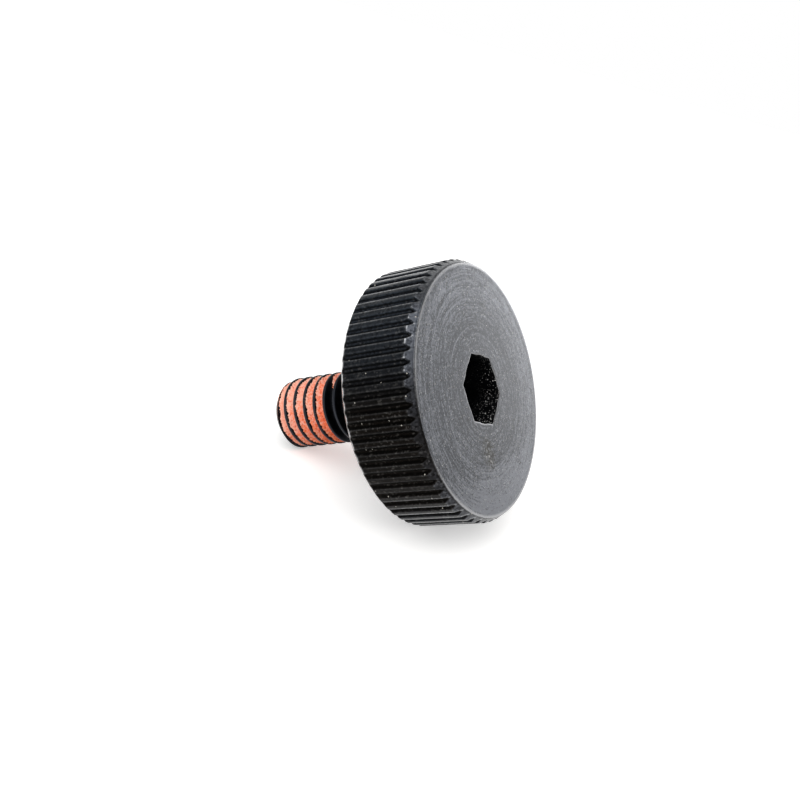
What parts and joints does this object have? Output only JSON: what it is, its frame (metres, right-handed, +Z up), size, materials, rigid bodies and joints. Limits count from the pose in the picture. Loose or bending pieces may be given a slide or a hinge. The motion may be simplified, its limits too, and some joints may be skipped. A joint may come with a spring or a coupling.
{
  "type": "knurled socket thumb screw",
  "caption": "Short metric thumb screw with a wide, flat, straight-knurled head, a hexagon socket in its face and a grainy orange locking coat on the thread near its tip.",
  "frame": {"origin": "on the surface that the screw lies on, below the middle of its bounding box", "axes": "+Z up; the screw's axis lies in the XZ plane and rises towards the head at +X, 30.63 degrees above the surface"},
  "size_m": [0.0218, 0.02, 0.0198],
  "materials": {
    "black_steel": "turned steel, blackened, with fine rings on the face and a dull sheen",
    "locking_compound": "dried, grainy, matt orange coat"
  },
  "bodies": {
    "root": {"screw": "black_steel", "locking_coat": "locking_compound"}
  },
  "joints": []
}
